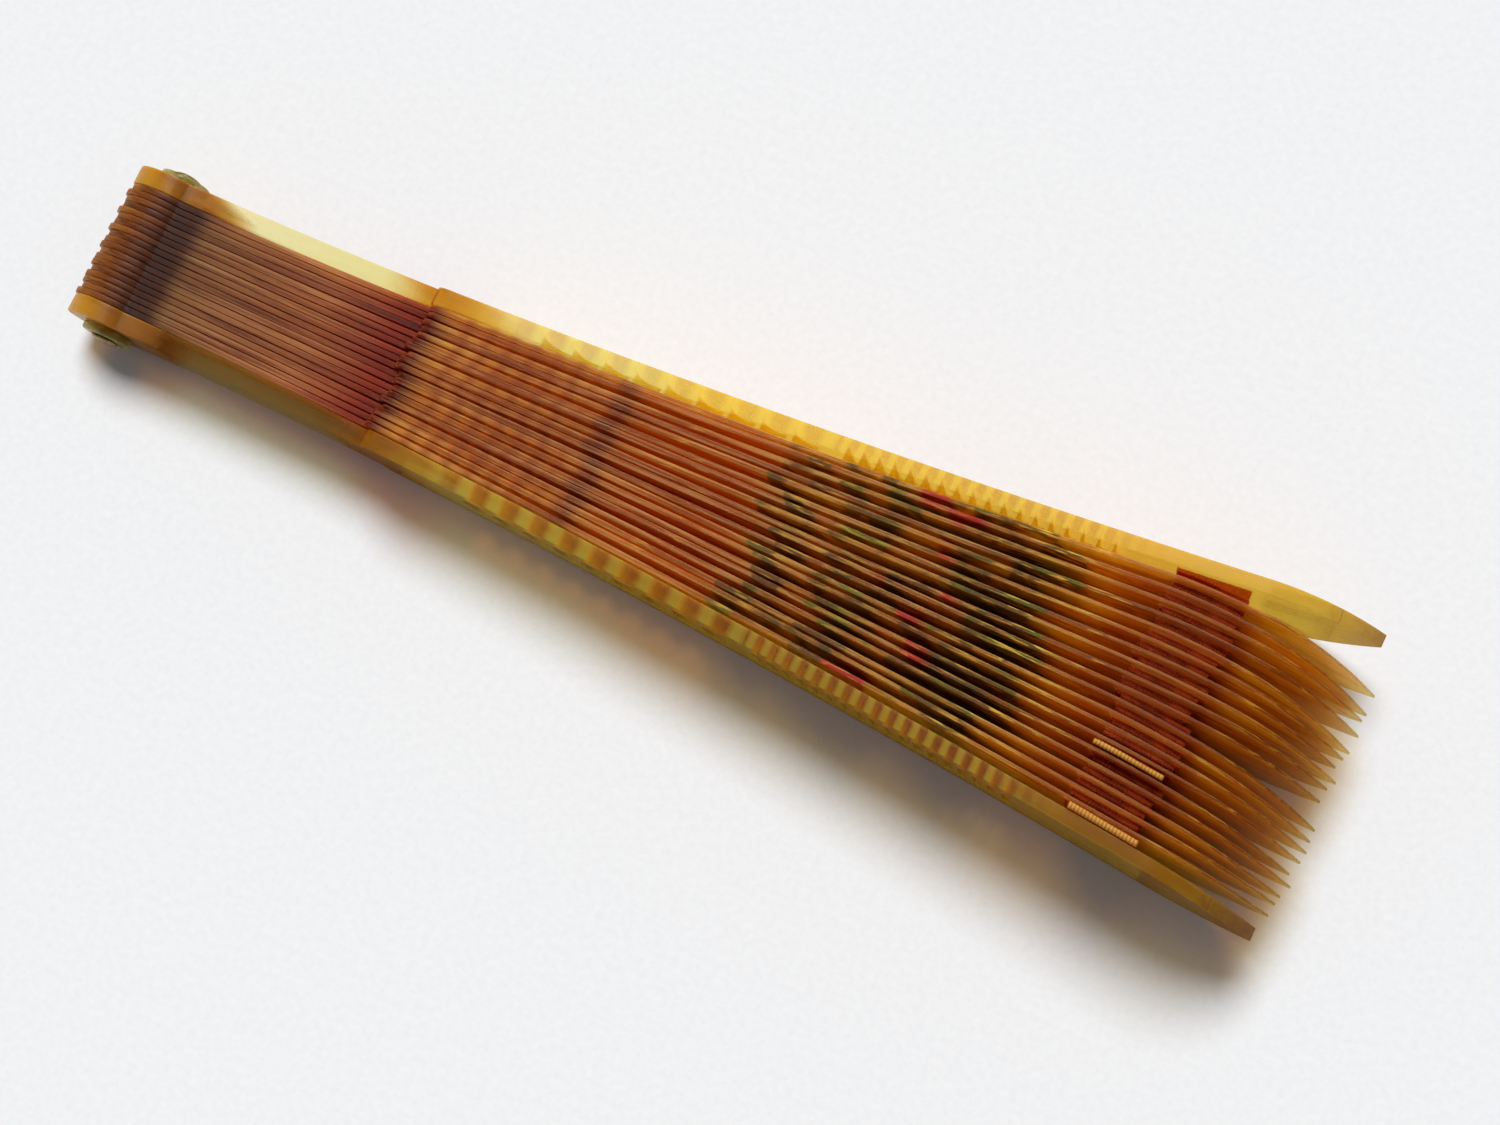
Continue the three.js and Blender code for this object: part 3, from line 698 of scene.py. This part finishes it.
# Woven silk, copper brown, with a painted highlight, pale copper with deeper ribs, on the tops of the folds near the
# blades' edges: weft ribs give it a fine ribbed sheen. The ribs of the real ribbon are about 0.25 mm apart and are
# drawn at 0.5 mm so that they show.
rib_pitch = 0.5
silk, tree, weave = new_material("woven_silk_ribbon")
place = add(tree, "Attribute", attribute_name="thread_place")
parts = add(tree, "SeparateXYZ", {"Vector": place.outputs["Vector"]})
rib_turn = add(tree, "Math", {0: parts.outputs["X"], 1: 2 * math.pi / rib_pitch}, operation="MULTIPLY")
rib = add(tree, "Math", {0: rib_turn.outputs[0]}, operation="COSINE")
rib_level = add(tree, "MapRange", {"Value": rib.outputs[0], "From Min": -1.0})
fade = add(tree, "TexNoise", {"Vector": place.outputs["Vector"], "Scale": 0.5, "Detail": 3.0})
silk_tone = add(tree, "ValToRGB", {"Fac": fade.outputs["Fac"]},
                stops=[(0.35, "#84341a"), (0.5, "#9c4420"), (0.65, "#b05428")])
# Painted highlight: the tops of the folds are paled to copper, with deeper ribs, and let less light through
fold_top_highlight = add(tree, "MapRange", {"Value": parts.outputs["Y"], "From Min": 11.6, "From Max": 12.3})
fold_highlighted = add(tree, "Mix", {"Factor": fold_top_highlight.outputs["Result"], "A": silk_tone.outputs["Color"], "B": linear("#e0a044")},
            data_type="RGBA")
rib_dark = add(tree, "MapRange", {"Value": fold_top_highlight.outputs["Result"], "To Min": 0.82, "To Max": 0.5})
rib_tone = add(tree, "MapRange", {"Value": rib_level.outputs["Result"], "To Min": rib_dark.outputs["Result"]})
ribbed = add(tree, "Mix", {"Factor": 1.0, "A": fold_highlighted.outputs["Result"], "B": rib_tone.outputs["Result"]},
             data_type="RGBA", blend_type="MULTIPLY")
tree.links.new(ribbed.outputs["Result"], weave.inputs["Base Color"])
raised = add(tree, "Bump", {"Strength": 0.6, "Distance": 0.05 * MM, "Height": rib_level.outputs["Result"]})
tree.links.new(raised.outputs["Normal"], weave.inputs["Normal"])
weave.inputs["Roughness"].default_value = 0.6
weave.inputs["Specular IOR Level"].default_value = 0.25
weave.inputs["Subsurface Weight"].default_value = 1.0
weave.inputs["Subsurface Radius"].default_value = (1.0, 0.45, 0.2)
weave.inputs["Subsurface Scale"].default_value = 0.8 * MM
weave.inputs["Sheen Weight"].default_value = 0.05
weave.inputs["Sheen Roughness"].default_value = 0.4
weave.inputs["Sheen Tint"].default_value = linear("#e8b080")
thinness = add(tree, "MapRange", {"Value": fold_top_highlight.outputs["Result"], "To Min": 0.66, "To Max": 0.1})
let_light_through(tree, weave, thinness.outputs["Result"], linear("#ffbc90"))

lengths = [(f"ribbon_{number:02d}", f"stick_{number:02d}", f"stick_{number:02d}_horn", "folded",
            lambda reach, number=number: run_through_stick(number, reach),
            lambda reach, number=number: stick_middle(number, reach), ribbon_start + own_length[number - 1])
           for number in range(1, stick_count + 1)]
lengths += [(f"ribbon_end_{label}", f"{label}_guard", f"guard_{label}_horn", "laid",
             lambda reach, side=side: run_on_guard(side, reach),
             lambda reach, side=side: side * guard_inner_face(reach), ribbon_start)
            for label, side in (("back", -1), ("front", 1))]
for node, body, blade, held, run_at, middle_at, start in lengths:
    ribbon, run_length = lay_ribbon(f"{node}_silk", run_at, middle_at, start)
    ribbon.data.materials.append(silk)
    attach(ribbon, body)
    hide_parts(node)

# Rivet and washers
# A brass pin through all the heads, hammered to a low dome at each end over a small turned disc of pale clear horn.


def turn_on_lathe(name, profile, closed):
    """A round piece about the rivet's axis, from its profile as (radius, through) in millimetres."""
    sides = 64
    touching = 0.001 * MM
    places, faces = [], []
    for side in range(sides):
        turn = 2 * math.pi * side / sides
        for radius, through in profile:
            places.append(on_table(radius * math.cos(turn), radius * math.sin(turn), through))
    count = len(profile)
    for side in range(sides):
        here, there = side * count, (side + 1) % sides * count
        for row in range(count if closed else count - 1):
            after = (row + 1) % count
            faces.append((here + row, there + row, there + after, here + after))
    mesh = bpy.data.meshes.new(name)
    mesh.from_pydata(places, [], faces)
    form = bmesh.new()
    form.from_mesh(mesh)
    bmesh.ops.remove_doubles(form, verts=form.verts, dist=touching)
    bmesh.ops.recalc_face_normals(form, faces=form.faces)
    form.to_mesh(mesh)
    form.free()
    piece = put_in_scene(name, mesh)
    keep_faces_flat(piece)
    return piece


# Pale horn, turned and polished: milky greenish cream, lit through
pale_horn, tree, horn = new_material("pale_horn_turned")
where = add(tree, "TexCoord")
cloud_size = add(tree, "VectorMath", {0: where.outputs["Object"], "Scale": 1 / (2.5 * MM)}, operation="SCALE")
clouds = add(tree, "TexNoise", {"Vector": cloud_size.outputs[0], "Scale": 1.0, "Detail": 4.0, "Distortion": 0.5})
cloud_tone = add(tree, "ValToRGB", {"Fac": clouds.outputs["Fac"]},
                 stops=[(0.3, "#80742c"), (0.5, "#988c40"), (0.7, "#b4ac64")])
tree.links.new(cloud_tone.outputs["Color"], horn.inputs["Base Color"])
polish = add(tree, "MapRange", {"Value": clouds.outputs["Fac"], "To Min": 0.18, "To Max": 0.36})
tree.links.new(polish.outputs["Result"], horn.inputs["Roughness"])
horn.inputs["IOR"].default_value = 1.54
horn.inputs["Subsurface Weight"].default_value = 1.0
horn.inputs["Specular IOR Level"].default_value = 0.35
horn.inputs["Subsurface Radius"].default_value = (1.0, 0.9, 0.6)
horn.inputs["Subsurface Scale"].default_value = 2 * MM
let_light_through(tree, horn, 0.45, linear("#f8f0c8"))

stack_clearance = 0.08
washer_thickness = 1.2
washer_foot = head_half_pack + guard_head_thickness + stack_clearance
washer_top = washer_foot + washer_thickness
washer_profile = [
    (1.3, washer_foot), (3.5, washer_foot), (3.64, washer_foot + 0.06), (3.7, washer_foot + 0.2),
    (3.7, washer_top - 0.4), (3.64, washer_top - 0.18), (3.45, washer_top - 0.06), (3.2, washer_top - 0.02),
    (2.6, washer_top), (1.4, washer_top), (1.3, washer_top - 0.1)]
for label, side in (("back", -1), ("front", 1)):
    outwards = [(radius, side * through) for radius, through in washer_profile]
    washer = turn_on_lathe(f"washer_{label}_horn", outwards, True)
    washer.data.materials.append(pale_horn)
    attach(washer, "back_guard")
    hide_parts(f"washer_{label}")

# Old brass, hammered and dull: brown in the hollows, brighter where it is rubbed
brass, tree, metal = new_material("old_brass_hammered")
where = add(tree, "TexCoord")
dent_size = add(tree, "VectorMath", {0: where.outputs["Object"], "Scale": 1 / (0.9 * MM)}, operation="SCALE")
dents = add(tree, "TexNoise", {"Vector": dent_size.outputs[0], "Scale": 1.0, "Detail": 3.0})
tarnish = add(tree, "ValToRGB", {"Fac": dents.outputs["Fac"]},
              stops=[(0.35, "#5c4a28"), (0.55, "#8c7440"), (0.75, "#b89c5c")])
tree.links.new(tarnish.outputs["Color"], metal.inputs["Base Color"])
dullness = add(tree, "MapRange", {"Value": dents.outputs["Fac"], "To Min": 0.5, "To Max": 0.28})
tree.links.new(dullness.outputs["Result"], metal.inputs["Roughness"])
hammered = add(tree, "Bump", {"Strength": 0.4, "Distance": 0.08 * MM, "Height": dents.outputs["Fac"]})
tree.links.new(hammered.outputs["Normal"], metal.inputs["Normal"])
metal.inputs["Metallic"].default_value = 1.0

pin_radius = 1.2
dome_foot_radius, dome_radius, dome_rise = 2.0, 2.1, 0.6
under_head = washer_top + stack_clearance
dome = [(pin_radius, under_head), (dome_foot_radius, under_head)]
dome += [(dome_radius * math.cos(turn), under_head + dome_rise * math.sin(turn))
         for turn in (math.radians(angle) for angle in (8, 25, 42, 58, 72, 83, 90))]
pin = turn_on_lathe("rivet_pin_brass", [(radius, -through) for radius, through in reversed(dome)] + dome, False)
pin.data.materials.append(brass)
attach(pin, "back_guard")
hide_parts("rivet_pin")

# Table, light and view
# The closed fan lies on its edges on a sheet of white drawing paper, by a window beyond the front guard.

# Cold-pressed paper: matt white, with a soft tooth about 1 mm across that catches the slanting light
paper, tree, white = new_material("white_drawing_paper")
where = add(tree, "TexCoord")
tooth_size = add(tree, "VectorMath", {0: where.outputs["Object"], "Scale": 1 / (1.1 * MM)}, operation="SCALE")
tooth = add(tree, "TexNoise", {"Vector": tooth_size.outputs[0], "Scale": 1.0, "Detail": 5.0, "Roughness": 0.6})
pulp_tone = add(tree, "ValToRGB", {"Fac": tooth.outputs["Fac"]}, stops=[(0.3, "#e4e5e7"), (0.7, "#eaebec")])
tree.links.new(pulp_tone.outputs["Color"], white.inputs["Base Color"])
pressed = add(tree, "Bump", {"Strength": 0.2, "Distance": 0.12 * MM, "Height": tooth.outputs["Fac"]})
tree.links.new(pressed.outputs["Normal"], white.inputs["Normal"])
white.inputs["Roughness"].default_value = 0.9
white.inputs["Specular IOR Level"].default_value = 0.2
half_side = 8.0
corners = [(-half_side, -half_side, 0), (half_side, -half_side, 0),
           (half_side, half_side, 0), (-half_side, half_side, 0)]
sheet = bpy.data.meshes.new("table_paper")
sheet.from_pydata(corners, [], [(0, 1, 2, 3)])
sheet.materials.append(paper)
table = put_in_scene("table_paper", sheet)

# A wide window: soft light that slants down over the front guard
light_falls = Vector((0.28, -0.7, -1.28))
window = bpy.data.lights.new("window", "SUN")
window.angle = math.radians(25)
window.energy = 3.4
put_in_scene("window", window).rotation_euler = light_falls.to_track_quat("-Z", "Y").to_euler()

room = bpy.data.worlds.new("room")
bpy.context.scene.world = room
room.use_nodes = True
room.node_tree.nodes["Background"].inputs["Color"].default_value = linear("#ffffff")
room.node_tree.nodes["Background"].inputs["Strength"].default_value = 0.17

# Seen from above, across the table, through a lens that is fitted to the fan's edges
focal_pixels = 2506.9
picture_width_pixels = 1500
camera = bpy.data.cameras.new("camera")
camera.sensor_width = 36.0
camera.lens = focal_pixels / picture_width_pixels * camera.sensor_width
camera.clip_start = 0.01
viewer = put_in_scene("camera", camera)
viewer.location = Vector((67.49, -42.44, 347.81)) * MM
viewer.rotation_euler = [math.radians(turn) for turn in (9.823, 5.688, 25.628)]
bpy.context.scene.camera = viewer
bpy.context.scene.view_settings.view_transform = "Standard"
